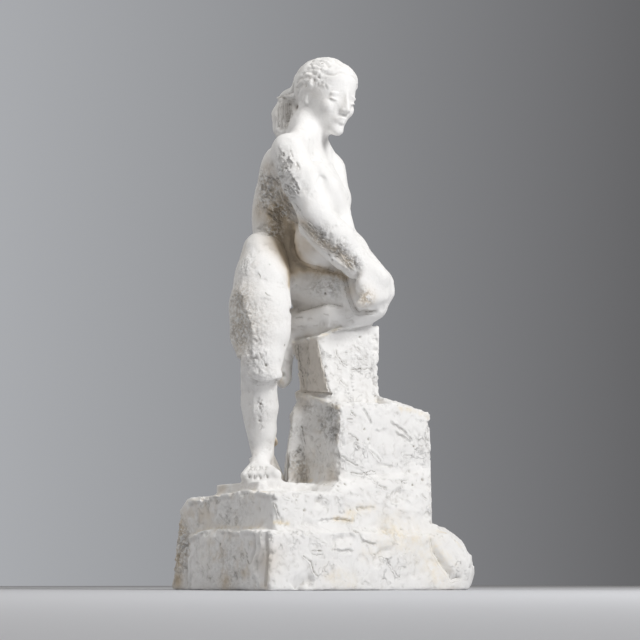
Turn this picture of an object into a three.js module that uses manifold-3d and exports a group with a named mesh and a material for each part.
// Plaster statuette: a nude woman, one knee on a stack of rough blocks, cast in one with her base.
// Lengths are millimetres, angles are degrees, +Z is up. The base's broad front faces -Y, and the
// origin is at floor level in the middle of the footprint. The form is a distance field, negative
// inside the plaster. It is meshed on a fine grid and then thinned to few, well placed triangles.

import * as THREE from 'three';
import { edgeTable, triTable } from 'three/addons/objects/MarchingCubes.js';
import { ImprovedNoise } from 'three/addons/math/ImprovedNoise.js';
import Module from 'manifold-3d';

// Driving dimensions of the base, in the base's own axes

const STEP = { left: -98, right: 96, front: -65, back: 55, top: 46 };
const PLINTH = { left: -88, right: 76, front: -55, back: 88, top: 76 };
const BLOCK = { left: -20, right: 74, front: -47, back: 17, top: 150 };
const SEAT = { left: -19, right: 34, front: -30, back: 24, top: 211 };
const SLAB = { left: -80, right: -18, front: -22, back: 44, top: 85 };
const BUTTRESS = { left: -27, right: 30, front: 4, back: 34, top: 150 };
const BOULDER = { centre: [88, -22, 18], radii: [31, 46, 36] };
const EDGE_WEAR = 7;
const BLOCK_JOIN = 4;
const BOULDER_JOIN = 10;
const CHISEL_DEPTH = 1.3;
const CHISEL_PITCH = 17;
const SUNK = 8;

// Driving dimensions of the figure

const FIGURE_TURN = -35;
const TORSO_TURN = -30;
const TORSO_LEAN = 14;
const SHOULDER_TILT = 6;
const HEAD_TURN = -48;
const HEAD_NOD = 14;
const HEAD_HEIGHT = 65;
const THIGH = 24.5;
const KNEE = 17;
const CALF = 16;
const ANKLE = 9.5;
const SHOULDER = 15;
const ELBOW = 14;
const WRIST = 10.5;
const FINGERS = 4;
const FINGER = 5;
const TOES = 5;
const TOE_PITCH = 6.4;
const BIG_TOE = 4.6;
const SMALL_TOE = 3.5;
const SKIN_WEAR = 0.45;
const SKIN_PITCH = 9;
const LOCK_DEPTH = 1.3;
const LOCK_PITCH = 6;

// Joints of the figure, as [across, back, up] in axes turned with her

const PELVIS = [-37, 0, 272];
const CHEST = [-25, 0, 335];
const NECK = [-17, 2, 378];
const HEAD = [1, -2, 414];
const RIGHT_SHOULDER = [-31, -40, 357];
const RIGHT_ELBOW = [-8, -48, 300];
const RIGHT_WRIST = [27, -33, 264];
const LEFT_SHOULDER = [3, 36, 361];
const LEFT_ELBOW = [9, 18, 304];
const LEFT_WRIST = [34, -12, 266];
const RIGHT_KNEE = [-53, -38, 184];
const RIGHT_ANKLE = [-53, -14, 110];
const LEFT_HIP = [-25, 13, 258];
const LEFT_KNEE = [36, -16, 242];
const LEFT_ANKLE = [-28, 15, 220];
const LEFT_TOES = [-36, 14, 172];

// Meshing: the grid's pitch and the cells passed over at once, then the triangles kept, the pull of
// a corner to its first place, and the limits that keep a thinned triangle from folding or thinning out

const GRID = 2.6;
const STRIDE = 4;
const TRIANGLES = 9700;
const ANCHOR = 6e-4;
const LEAST_TURN = 0.3;
const LEAST_BREADTH = 0.03;
const FARTHEST = 1.5;

const noise = new ImprovedNoise();
const radians = THREE.MathUtils.degToRad;

// Axes for one part of the body: its x points forward, y to the figure's left and z up.

function frameAt(parent, origin, turn, lean = 0, tilt = 0) {
  const matrix = new THREE.Matrix4();
  matrix.makeRotationFromEuler(new THREE.Euler(radians(tilt), radians(lean), radians(turn), 'ZYX'));
  matrix.setPosition(...origin);
  if (parent) {
    matrix.premultiply(parent.matrix);
  }
  const at = (x, y, z) => new THREE.Vector3(x, y, z).applyMatrix4(matrix).toArray();
  return { matrix, at };
}

const world = frameAt(null, [0, 0, 0], 0);
const stance = frameAt(null, [0, 0, 0], FIGURE_TURN);
const torso = frameAt(stance, PELVIS, TORSO_TURN, 0, 0);
const chest = frameAt(stance, CHEST, TORSO_TURN, TORSO_LEAN, SHOULDER_TILT);
const head = frameAt(stance, HEAD, HEAD_TURN, HEAD_NOD, 0);

// Forms. Each has a distance, a centre and a reach past which it has no material.

function ball(frame, centre, radii, turn = 0, lean = 0, tilt = 0) {
  const own = frameAt(frame, centre, turn, lean, tilt);
  const m = own.matrix.clone().invert().elements;
  const [rx, ry, rz] = radii;
  const distance = (x, y, z) => {
    const px = (m[0] * x + m[4] * y + m[8] * z + m[12]) / rx;
    const py = (m[1] * x + m[5] * y + m[9] * z + m[13]) / ry;
    const pz = (m[2] * x + m[6] * y + m[10] * z + m[14]) / rz;
    const scaled = Math.hypot(px, py, pz);
    const slope = Math.hypot(px / rx, py / ry, pz / rz);
    return slope < 1e-9 ? -Math.min(rx, ry, rz) : (scaled * (scaled - 1)) / slope;
  };
  return { distance, centre: own.at(0, 0, 0), reach: Math.max(rx, ry, rz) };
}

function limb(frame, start, end, startRadius, endRadius) {
  const a = frame.at(...start);
  const b = frame.at(...end);
  const d = [b[0] - a[0], b[1] - a[1], b[2] - a[2]];
  const length2 = d[0] * d[0] + d[1] * d[1] + d[2] * d[2];
  const drop = startRadius - endRadius;
  const slant2 = length2 - drop * drop;
  const inverse = 1 / length2;
  const distance = (x, y, z) => {
    const px = x - a[0];
    const py = y - a[1];
    const pz = z - a[2];
    const along = px * d[0] + py * d[1] + pz * d[2];
    const beyond = along - length2;
    const qx = px * length2 - d[0] * along;
    const qy = py * length2 - d[1] * along;
    const qz = pz * length2 - d[2] * along;
    const off2 = qx * qx + qy * qy + qz * qz;
    const along2 = along * along * length2;
    const beyond2 = beyond * beyond * length2;
    const lean = Math.sign(drop) * drop * drop * off2;
    if (Math.sign(beyond) * slant2 * beyond2 > lean) {
      return Math.sqrt(off2 + beyond2) * inverse - endRadius;
    }
    if (Math.sign(along) * slant2 * along2 < lean) {
      return Math.sqrt(off2 + along2) * inverse - startRadius;
    }
    return (Math.sqrt(off2 * slant2 * inverse) + along * drop) * inverse - startRadius;
  };
  const centre = [a[0] + d[0] / 2, a[1] + d[1] / 2, a[2] + d[2] / 2];
  return { distance, centre, reach: Math.sqrt(length2) / 2 + Math.max(startRadius, endRadius) };
}

// A run of limbs through several joints, each joint given as [x, y, z, radius].

function chain(frame, joints) {
  const links = [];
  for (let i = 1; i < joints.length; i++) {
    const [x0, y0, z0, r0] = joints[i - 1];
    const [x1, y1, z1, r1] = joints[i];
    links.push(limb(frame, [x0, y0, z0], [x1, y1, z1], r0, r1));
  }
  return links;
}

// Soft joins and cuts: the two surfaces meet in a fillet of about the given width.

function softMin(a, b, width) {
  const overlap = Math.max(width - Math.abs(a - b), 0) / width;
  return Math.min(a, b) - (overlap * overlap * width) / 4;
}

function softMax(a, b, width) {
  return -softMin(-a, -b, width);
}

function joined(forms, width) {
  return (x, y, z) => {
    let nearest = 1e3;
    for (const form of forms) {
      const [cx, cy, cz] = form.centre;
      const gap = Math.hypot(x - cx, y - cy, z - cz) - form.reach;
      if (gap < nearest + width) {
        nearest = softMin(nearest, form.distance(x, y, z), width);
      }
    }
    return nearest;
  };
}

// A roughly squared block. Its sides lean out by flare at the foot, its top slopes along x and y,
// and its arrises are worn round.

function roughBlock(size, low, options = {}) {
  const { flare = {}, slopeX = 0, slopeY = 0, wear = EDGE_WEAR, seed = 0 } = options;
  const { left = 0, right = 0, front = 0, back = 0 } = flare;
  const height = size.top - low;
  const middleX = (size.left + size.right) / 2;
  const middleY = (size.front + size.back) / 2;
  return (x, y, z) => {
    const foot = (size.top - z) / height;
    const sideX = softMax(size.left - left * foot - x, x - size.right - right * foot, wear);
    const sideY = softMax(size.front - front * foot - y, y - size.back - back * foot, wear);
    const top = z - size.top - slopeX * (x - middleX) - slopeY * (y - middleY);
    const sides = softMax(sideX, sideY, wear);
    return Math.max(softMax(sides, top, wear) + chisel(x, y, z, seed), low - z);
  };
}

function chisel(x, y, z, seed) {
  const s = 1 / CHISEL_PITCH;
  const broad = noise.noise(x * s + seed, y * s, z * s);
  const fine = noise.noise(x * s * 2.3, y * s * 2.3 + seed, z * s * 2.3);
  return CHISEL_DEPTH * (broad + 0.45 * fine);
}

// The base: a tall plinth, a lower step round its near corner, two blocks, a slab and a boulder

const blocks = [
  roughBlock(STEP, -SUNK, { flare: { left: 1, front: 2 }, seed: 3 }),
  roughBlock(PLINTH, -SUNK, { flare: { left: 1, front: 9, back: 15 }, seed: 11 }),
  roughBlock(BLOCK, PLINTH.top - 12, {
    flare: { left: 2, back: 2, right: 2 }, slopeX: -0.04, slopeY: 0.13, seed: 21,
  }),
  roughBlock(SEAT, BLOCK.top - 6, {
    flare: { left: -5, back: -8 }, slopeX: 0.22, slopeY: -0.03, wear: 5, seed: 5,
  }),
  roughBlock(SLAB, PLINTH.top - 6, { wear: 4, seed: 8 }),
  roughBlock(BUTTRESS, PLINTH.top - 6, { flare: { left: 16, back: 6 }, wear: 12, seed: 14 }),
];
const boulder = ball(world, BOULDER.centre, BOULDER.radii);

function base(x, y, z) {
  let nearest = blocks[0](x, y, z);
  for (const block of blocks.slice(1)) {
    nearest = softMin(nearest, block(x, y, z), BLOCK_JOIN);
  }
  nearest = softMin(nearest, boulder.distance(x, y, z) + chisel(x, y, z, 31), BOULDER_JOIN);
  return Math.max(nearest, -SUNK - z);
}

// Trunk

const trunk = [
  ball(torso, [0, 3, -2], [22, 27, 27]),
  ball(torso, [-11, -11, -12], [19, 17, 20]),
  ball(torso, [-11, 15, -10], [19, 17, 20]),
  ball(torso, [-4, 3, 25], [22, 25, 30]),
  ball(torso, [-4, 1, 48], [20, 26, 26]),
  ball(torso, [9, 0, 42], [19, 22, 22]),
  ball(chest, [0, 0, 0], [24, 33, 34]),
  ball(chest, [-2, 0, 20], [19, 40, 19]),
  ball(chest, [16, 3, -3], [21, 29, 30]),
  ball(chest, [26, 16, -4], [12, 13, 12]),
  ball(chest, [23, -13, -5], [12, 13, 14]),
  ball(chest, [-12, 20, 10], [10, 14, 19]),
  ball(chest, [-12, -18, 10], [10, 13, 19]),
  limb(stance, [-15, 0, 389], [-25, -33, 364], 10, 10),
  limb(stance, [-15, 2, 389], [1, 32, 367], 10, 10),
  limb(stance, [-23, 8, 384], [-34, 10, 356], 10, 11),
];
const belly = ball(torso, [33, 4, 13], [24, 24, 22], 0, 12);

// The furrow down the back, and the parting below it

const furrow = [
  ...chain(torso, [[-14, 4, 100, 2.5], [-22, 3, 62, 4], [-29, 3, 32, 4], [-28, 3, 12, 3.5]]),
  ...chain(torso, [[-31, 2, -2, 3.5], [-30, 2, -20, 4.5], [-18, 2, -34, 4.5]]),
];

// Arms, both reaching down to the raised knee

const arms = [
  ...chain(stance, [
    [...RIGHT_SHOULDER, SHOULDER],
    [-21, -46, 331, SHOULDER + 0.5],
    [...RIGHT_ELBOW, ELBOW],
    [9, -43, 282, ELBOW - 0.5],
    [...RIGHT_WRIST, WRIST],
  ]),
  ...chain(stance, [
    [...LEFT_SHOULDER, SHOULDER - 0.5],
    [7, 28, 332, SHOULDER - 1],
    [...LEFT_ELBOW, ELBOW - 1],
    [22, 4, 284, ELBOW - 2],
    [...LEFT_WRIST, WRIST - 0.5],
  ]),
];

// Hands clasped over the knee. Each finger is two limbs, from the knuckle down and round the knee.

function hand(wrist, palm, knuckle, bend, tip, spread) {
  const pieces = [limb(stance, wrist, palm, WRIST - 0.5, WRIST + 0.5)];
  for (let finger = 0; finger < FINGERS; finger++) {
    const joints = [[knuckle, FINGER], [bend, 0.92 * FINGER], [tip, 0.76 * FINGER]];
    pieces.push(...chain(stance, joints.map(([place, radius], joint) => {
      const reach = finger * (1 - 0.12 * joint);
      return [...place.map((value, axis) => value + reach * spread[axis]), radius];
    })));
  }
  return pieces;
}

const hands = [
  ...hand(RIGHT_WRIST, [42, -29, 252], [49, -22, 248], [47, -27, 237], [39, -30, 231], [-5, -5, -1]),
  ...hand(LEFT_WRIST, [45, -12, 252], [51, -18, 252], [52, -17, 242], [48, -14, 234], [-1, 6.5, 0]),
  ...chain(stance, [
    [34, -38, 258, FINGER],
    [28, -42, 247, 0.9 * FINGER],
    [27, -40, 240, 0.76 * FINGER],
  ]),
];

// Standing right leg

const standingLeg = chain(stance, [
  [-54, -23, 277, THIGH - 9],
  [-53, -26, 252, THIGH - 3],
  [-54, -29, 228, THIGH],
  [-54, -32, 208, THIGH - 0.5],
  [...RIGHT_KNEE, KNEE],
  [-56, -30, 166, CALF - 1],
  [-56, -23, 148, CALF],
  [-54, -18, 128, CALF - 3.5],
  [...RIGHT_ANKLE, ANKLE],
]);
const kneecap = ball(stance, [-49, -46, 170], [15, 11, 7.5]);

// The standing foot, with five toes over the slab's near corner

function foot() {
  const pieces = [
    limb(stance, RIGHT_ANKLE, [-50, 2, 94], ANKLE - 0.5, ANKLE - 0.5),
    limb(stance, RIGHT_ANKLE, [-54, -30, 95], ANKLE, ANKLE - 1.5),
    limb(stance, [-50, 2, 93], [-54, -34, 91], ANKLE - 1.5, ANKLE - 2.5),
  ];
  for (let toe = 0; toe < TOES; toe++) {
    const across = -66 + toe * TOE_PITCH;
    const root = [(across + 52) / 2 - 53, -32, 94];
    const tip = [across, -46 - toe, 89.5];
    pieces.push(limb(stance, root, tip, 6, toe === TOES - 1 ? BIG_TOE : SMALL_TOE));
  }
  return pieces;
}

// Kneeling left leg: thigh forward to the knee, shin back over the seat, foot hanging off its end

const kneelingLeg = [
  ...chain(stance, [
    [...LEFT_HIP, THIGH - 4.5],
    [5, -4, 251, THIGH - 7],
    [...LEFT_KNEE, KNEE - 1.5],
  ]),
  ...chain(stance, [
    [37, -16, 232, KNEE - 3],
    [9, -4, 223, CALF + 1],
    [...LEFT_ANKLE, ANKLE + 4],
    [-36, 17, 200, ANKLE],
    [...LEFT_TOES, ANKLE - 2.5],
  ]),
];

// Neck, head and hair. The head's own height sets every size of the face and hair.

const UNIT = HEAD_HEIGHT / 100;
const inHead = (x, y, z) => [x * UNIT, y * UNIT, z * UNIT];
const headBall = (centre, radii, ...turns) => ball(head, inHead(...centre), inHead(...radii), ...turns);
const headLimb = (a, b, ra, rb) => limb(head, inHead(...a), inHead(...b), ra * UNIT, rb * UNIT);

const neck = chain(stance, [
  [...NECK, 14],
  [-13, 2, 393, 13.5],
  [-7, 1, 407, 14],
]);
const skull = [
  headBall([-5, 0, 12], [41, 35, 35]),
  headBall([10, 0, -10], [26, 28, 34]),
  headLimb([4, 0, -22], [24, 0, -37], 19, 10),
];
const features = [
  headLimb([34, 0, 4], [41, 0, -13], 3.5, 5),
  headBall([36, 0, -25], [4, 8, 2.4]),
  headBall([35, 0, -30], [4, 6.5, 2.8]),
  ...[-1, 1].flatMap((side) => [
    headLimb([35, side * 4, 9], [27, side * 18, 7], 3.5, 3.5),
    headBall([26, side * 12, 0], [6, 6.5, 6]),
    headBall([37, side * 4.5, -15], [4, 3, 3]),
    headBall([-2, side * 30, -3], [6, 4, 9]),
  ]),
];
const sockets = [-1, 1].map((side) => headBall([38, side * 12, 1], [8, 8, 5]));
const cap = headBall([-8, 0, 15], [46, 40, 38]);

// The hair stops at a slanting plane, so that the brow and the face stay clear of it.
const headMiddle = head.at(0, 0, 0);
const HAIRLINE = new THREE.Vector3(...head.at(0.8, 0, -0.6)).sub(new THREE.Vector3(...headMiddle));
const HAIRLINE_LEVEL = 6 * UNIT;
const ponytail = chain(stance, [
  [-24, 12, 421, 8.5],
  [-32, 15, 419, 7.5],
  [-34, 16, 413, 6.5],
  [-37, 17, 404, 9.5],
  [-37, 17, 393, 8.5],
  [-34, 13, 384, 7],
]);
const tie = ball(stance, [-34, 16, 413], [11.5, 11.5, 2.5], 0, -20);


// Each group of forms, with the width over which its forms run into each other
const parts = {
  trunk: joined(trunk, 12),
  arms: joined(arms, 5),
  hands: joined(hands, 2.5),
  standingLeg: joined(standingLeg, 6),
  foot: joined(foot(), 3),
  kneelingLeg: joined(kneelingLeg, 4),
  neck: joined(neck, 6),
  skull: joined(skull, 8),
  features: joined(features, 2.5),
  sockets: joined(sockets, 1),
  ponytail: joined(ponytail, 4),
  furrow: joined(furrow, 4),
};

function hair(x, y, z) {
  const [hx, hy, hz] = headMiddle;
  const ahead = (x - hx) * HAIRLINE.x + (y - hy) * HAIRLINE.y + (z - hz) * HAIRLINE.z;
  const shell = softMax(cap.distance(x, y, z), ahead - HAIRLINE_LEVEL, 4);
  const tail = softMin(parts.ponytail(x, y, z), tie.distance(x, y, z), 2);
  const s = 1 / LOCK_PITCH;
  return softMin(shell, tail, 5) + LOCK_DEPTH * noise.noise(x * s, y * s, z * s * 0.6);
}

function figure(x, y, z) {
  let body = softMin(parts.trunk(x, y, z), belly.distance(x, y, z), 7);
  body = softMin(body, parts.standingLeg(x, y, z), 6);
  body = softMax(body, -parts.furrow(x, y, z), 5);
  body = softMin(body, kneecap.distance(x, y, z), 3);
  body = softMin(body, parts.foot(x, y, z), 4);
  body = softMin(body, parts.kneelingLeg(x, y, z), 3);
  body = softMin(body, parts.arms(x, y, z), 4);
  body = softMin(body, parts.hands(x, y, z), 3);
  body = softMin(body, parts.neck(x, y, z), 9);
  let face = softMin(parts.skull(x, y, z), parts.features(x, y, z), 3);
  face = softMax(face, -parts.sockets(x, y, z), 2.5);
  body = softMin(body, face, 4);
  body = softMin(body, hair(x, y, z), 2);
  return body + SKIN_WEAR * noise.noise(x / SKIN_PITCH, y / SKIN_PITCH, z / SKIN_PITCH);
}

function plaster(x, y, z) {
  return softMin(base(x, y, z), figure(x, y, z), 3);
}

// Meshing: marching cubes on a regular grid, with cells far from the surface passed over.

const REACH = new THREE.Box3(
  new THREE.Vector3(-112, -90, -SUNK - 6),
  new THREE.Vector3(124, 116, 460),
);
const FACE_CORNERS = [[0, 0], [1, 0], [1, 1], [0, 1]];
const CORNERS = [0, 1].flatMap((level) => FACE_CORNERS.map(([a, b]) => [a, b, level]));
const EDGES = [
  ...[[0, 1], [1, 2], [3, 2], [0, 3]],
  ...[[4, 5], [5, 6], [7, 6], [4, 7]],
  ...[[0, 4], [1, 5], [2, 6], [3, 7]],
];

function sampleField(field, box, step) {
  const size = box.getSize(new THREE.Vector3());
  const count = size.toArray().map((length) => Math.ceil(length / step / STRIDE) * STRIDE + 1);
  const values = new Float32Array(count[0] * count[1] * count[2]);
  const index = (i, j, k) => (k * count[1] + j) * count[0] + i;
  const { x: lowX, y: lowY, z: lowZ } = box.min;
  const value = (i, j, k) => field(lowX + i * step, lowY + j * step, lowZ + k * step);
  const skip = 1.3 * STRIDE * step + 4;
  const half = STRIDE / 2;
  for (let k = 0; k < count[2]; k += STRIDE) {
    for (let j = 0; j < count[1]; j += STRIDE) {
      for (let i = 0; i < count[0]; i += STRIDE) {
        const middle = value(i + half, j + half, k + half);
        const far = Math.abs(middle) > skip;
        for (let c = k; c < Math.min(k + STRIDE, count[2]); c++) {
          for (let b = j; b < Math.min(j + STRIDE, count[1]); b++) {
            for (let a = i; a < Math.min(i + STRIDE, count[0]); a++) {
              values[index(a, b, c)] = far ? middle : value(a, b, c) || 1e-6;
            }
          }
        }
      }
    }
  }
  return { values, count, index };
}

function meshField(field, box, step) {
  const { values, count, index } = sampleField(field, box, step);
  const made = new Map();
  const points = [];
  const triangles = [];
  const low = box.min.toArray();
  const vertexOn = (cell, edge) => {
    const ends = EDGES[edge].map((corner) => CORNERS[corner].map((offset, axis) => cell[axis] + offset));
    const [from, to] = ends;
    const a = index(...from);
    const b = index(...to);
    const key = a * 3 + from.findIndex((at, axis) => at !== to[axis]);
    if (!made.has(key)) {
      const t = values[a] / (values[a] - values[b]);
      made.set(key, points.length / 3);
      points.push(...from.map((at, axis) => low[axis] + (at + t * (to[axis] - at)) * step));
    }
    return made.get(key);
  };
  for (let k = 0; k < count[2] - 1; k++) {
    for (let j = 0; j < count[1] - 1; j++) {
      for (let i = 0; i < count[0] - 1; i++) {
        let form = 0;
        for (let corner = 0; corner < 8; corner++) {
          const [a, b, c] = CORNERS[corner];
          if (values[index(i + a, j + b, k + c)] < 0) {
            form |= 1 << corner;
          }
        }
        if (edgeTable[form] !== 0) {
          for (let n = form * 16; triTable[n] !== -1; n += 3) {
            const outward = [triTable[n], triTable[n + 2], triTable[n + 1]];
            triangles.push(outward.map((edge) => vertexOn([i, j, k], edge)));
          }
        }
      }
    }
  }
  return { points, triangles };
}

// Thinning: the edge whose removal moves the surface least is closed up first, again and again.

class Thinner {
  constructor({ points, triangles }, importance) {
    this.points = points;
    this.importance = importance;
    this.triangles = triangles;
    this.live = triangles.length;
    this.faces = Array.from({ length: points.length / 3 }, () => new Set());
    this.quadrics = Array.from({ length: points.length / 3 }, () => new Float64Array(10));
    this.stamps = new Uint32Array(points.length / 3);
    this.heap = [];
    triangles.forEach((triangle, number) => this.addFace(triangle, number));
    for (const [a, b, c] of triangles) {
      for (const [p, q] of [[a, b], [b, c], [c, a]].filter(([from, to]) => from < to)) {
        this.offer(p, q);
      }
    }
  }

  point(v) {
    return this.points.slice(v * 3, v * 3 + 3);
  }

  addFace(triangle, number) {
    const { normal, area } = this.plane(triangle.map((v) => this.point(v)));
    const [x, y, z] = this.point(triangle[0]);
    const offset = -(normal[0] * x + normal[1] * y + normal[2] * z);
    const row = [...normal, offset];
    const weight = area * this.importance(x, y, z);
    for (const v of triangle) {
      this.faces[v].add(number);
      let n = 0;
      for (let i = 0; i < 4; i++) {
        for (let j = i; j < 4; j++) {
          this.quadrics[v][n++] += row[i] * row[j] * weight;
        }
      }
      this.anchor(v, weight * ANCHOR);
    }
  }

  // A slight pull towards the first place of a corner keeps the best place well defined.
  anchor(v, weight) {
    const [x, y, z] = this.point(v);
    const pull = [1, 0, 0, -x, 1, 0, -y, 1, -z, x * x + y * y + z * z];
    pull.forEach((value, n) => {
      this.quadrics[v][n] += value * weight;
    });
  }

  plane([a, b, c]) {
    const ux = b[0] - a[0];
    const uy = b[1] - a[1];
    const uz = b[2] - a[2];
    const vx = c[0] - a[0];
    const vy = c[1] - a[1];
    const vz = c[2] - a[2];
    const normal = [uy * vz - uz * vy, uz * vx - ux * vz, ux * vy - uy * vx];
    const length = Math.hypot(...normal) || 1e-12;
    return { normal: normal.map((value) => value / length), area: length / 2 };
  }

  gap(p, q) {
    return Math.hypot(p[0] - q[0], p[1] - q[1], p[2] - q[2]);
  }

  error(q, [x, y, z]) {
    return q[0] * x * x + 2 * q[1] * x * y + 2 * q[2] * x * z + 2 * q[3] * x + q[4] * y * y
      + 2 * q[5] * y * z + 2 * q[6] * y + q[7] * z * z + 2 * q[8] * z + q[9];
  }

  bestPlace(q, a, b) {
    const m = new THREE.Matrix3().set(q[0], q[1], q[2], q[1], q[4], q[5], q[2], q[5], q[7]);
    const place = new THREE.Vector3(-q[3], -q[6], -q[8]).applyMatrix3(m.invert()).toArray();
    const middle = a.map((value, axis) => (value + b[axis]) / 2);
    return this.gap(place, middle) < FARTHEST * this.gap(a, b) ? place : middle;
  }

  offer(a, b) {
    const q = this.quadrics[a].map((value, n) => value + this.quadrics[b][n]);
    const place = this.bestPlace(q, this.point(a), this.point(b));
    const cost = this.error(q, place);
    this.push({ cost, a, b, place, stampA: this.stamps[a], stampB: this.stamps[b] });
  }

  push(entry) {
    const heap = this.heap;
    let n = heap.length;
    heap.push(entry);
    while (n > 0 && heap[(n - 1) >> 1].cost > entry.cost) {
      heap[n] = heap[(n - 1) >> 1];
      n = (n - 1) >> 1;
    }
    heap[n] = entry;
  }

  pop() {
    const heap = this.heap;
    const first = heap[0];
    const last = heap.pop();
    let n = 0;
    while (heap.length > 2 * n + 1) {
      let child = 2 * n + 1;
      if (child + 1 < heap.length && heap[child + 1].cost < heap[child].cost) {
        child++;
      }
      if (heap[child].cost >= last.cost) {
        break;
      }
      heap[n] = heap[child];
      n = child;
    }
    if (heap.length) {
      heap[n] = last;
    }
    return first;
  }

  neighbours(v) {
    const corners = [...this.faces[v]].flatMap((number) => this.triangles[number]);
    return new Set(corners.filter((w) => w !== v));
  }

  // A triangle that keeps its third corner must not turn over or become a sliver.
  folds(v, other, place) {
    for (const number of this.faces[v]) {
      const triangle = this.triangles[number];
      if (!triangle.includes(other)) {
        const before = this.plane(triangle.map((w) => this.point(w)));
        const corners = triangle.map((w) => (w === v ? place : this.point(w)));
        const after = this.plane(corners);
        const turn = before.normal.reduce((sum, value, axis) => sum + value * after.normal[axis], 0);
        const [a, b, c] = corners;
        const longest = Math.max(this.gap(a, b), this.gap(b, c), this.gap(c, a));
        if (turn < LEAST_TURN || after.area < LEAST_BREADTH * longest * longest) {
          return true;
        }
      }
    }
    return false;
  }

  close({ a, b, place }) {
    const shared = [...this.neighbours(a)].filter((v) => this.neighbours(b).has(v));
    if (shared.length !== 2 || this.folds(a, b, place) || this.folds(b, a, place)) {
      return;
    }
    for (const number of [...this.faces[b]]) {
      const triangle = this.triangles[number];
      if (triangle.includes(a)) {
        triangle.forEach((v) => this.faces[v].delete(number));
        this.triangles[number] = null;
        this.live--;
      } else {
        triangle[triangle.indexOf(b)] = a;
        this.faces[a].add(number);
      }
    }
    this.points.splice(a * 3, 3, ...place);
    this.quadrics[a].forEach((value, n) => {
      this.quadrics[a][n] = value + this.quadrics[b][n];
    });
    this.stamps[a]++;
    this.stamps[b]++;
    this.neighbours(a).forEach((v) => this.offer(a, v));
  }

  run(target) {
    while (this.live > target && this.heap.length) {
      const next = this.pop();
      if (this.stamps[next.a] === next.stampA && this.stamps[next.b] === next.stampB) {
        this.close(next);
      }
    }
    const geometry = new THREE.BufferGeometry();
    const kept = this.triangles.filter(Boolean);
    const numbers = new Map();
    const positions = [];
    for (const v of kept.flat()) {
      if (!numbers.has(v)) {
        numbers.set(v, numbers.size);
        positions.push(...this.point(v));
      }
    }
    geometry.setAttribute('position', new THREE.Float32BufferAttribute(positions, 3));
    geometry.setIndex(kept.flat().map((v) => numbers.get(v)));
    return geometry;
  }
}

// The figure keeps more triangles than the base, and her head, hands and feet keep the most.

const FINE_PLACES = [
  { middle: head.at(12, 0, -6), reach: 30 },
  { middle: stance.at(42, -25, 243), reach: 24 },
  { middle: stance.at(-55, -42, 90), reach: 19 },
];

function importance(x, y, z) {
  const fine = FINE_PLACES.some(({ middle: [mx, my, mz], reach }) => (
    Math.hypot(x - mx, y - my, z - mz) < reach
  ));
  if (fine) {
    return 8;
  }
  return figure(x, y, z) < base(x, y, z) ? 1.5 : 0.25;
}

// Trimming: the underside is cut off flat at floor level.

const wasm = await Module();
wasm.setup();

function toSolid(geometry) {
  const vertProperties = new Float32Array(geometry.attributes.position.array);
  const triVerts = new Uint32Array(geometry.index.array);
  return new wasm.Manifold(new wasm.Mesh({ numProp: 3, vertProperties, triVerts }));
}

function boxSolid(box) {
  const size = box.getSize(new THREE.Vector3());
  const centre = box.getCenter(new THREE.Vector3());
  const geometry = new THREE.BoxGeometry(...size.toArray()).translate(...centre.toArray());
  const corners = new Map();
  const positions = [];
  const renumber = [];
  for (let v = 0; v < geometry.attributes.position.count; v++) {
    const p = new THREE.Vector3().fromBufferAttribute(geometry.attributes.position, v);
    const key = p.toArray().map((value) => value.toFixed(3)).join();
    if (!corners.has(key)) {
      corners.set(key, corners.size);
      positions.push(...p.toArray());
    }
    renumber.push(corners.get(key));
  }
  const merged = new THREE.BufferGeometry();
  merged.setAttribute('position', new THREE.Float32BufferAttribute(positions, 3));
  merged.setIndex(Array.from(geometry.index.array, (v) => renumber[v]));
  return toSolid(merged);
}

function trimmed(geometry) {
  const below = REACH.clone();
  below.min.subScalar(10);
  below.max.addScalar(10);
  below.max.z = 0;
  const mesh = toSolid(geometry).subtract(boxSolid(below)).getMesh();
  const result = new THREE.BufferGeometry();
  result.setAttribute('position', new THREE.Float32BufferAttribute(mesh.vertProperties, 3));
  result.setIndex(Array.from(mesh.triVerts));
  return result;
}

// The finished casting, moved so that the middle of its footprint is at the origin

const thinned = new Thinner(meshField(plaster, REACH, GRID), importance).run(TRIANGLES);
const casting = trimmed(thinned);
casting.computeBoundingBox();
const centre = casting.boundingBox.getCenter(new THREE.Vector3());
casting.translate(-centre.x, -centre.y, 0);
casting.computeVertexNormals();

const material = new THREE.MeshStandardMaterial({ color: 0xeceae5, roughness: 0.85, metalness: 0 });
const statuette = new THREE.Mesh(casting, material);
statuette.name = 'plaster_statuette';

const model = new THREE.Group();
model.add(statuette);

export default model;
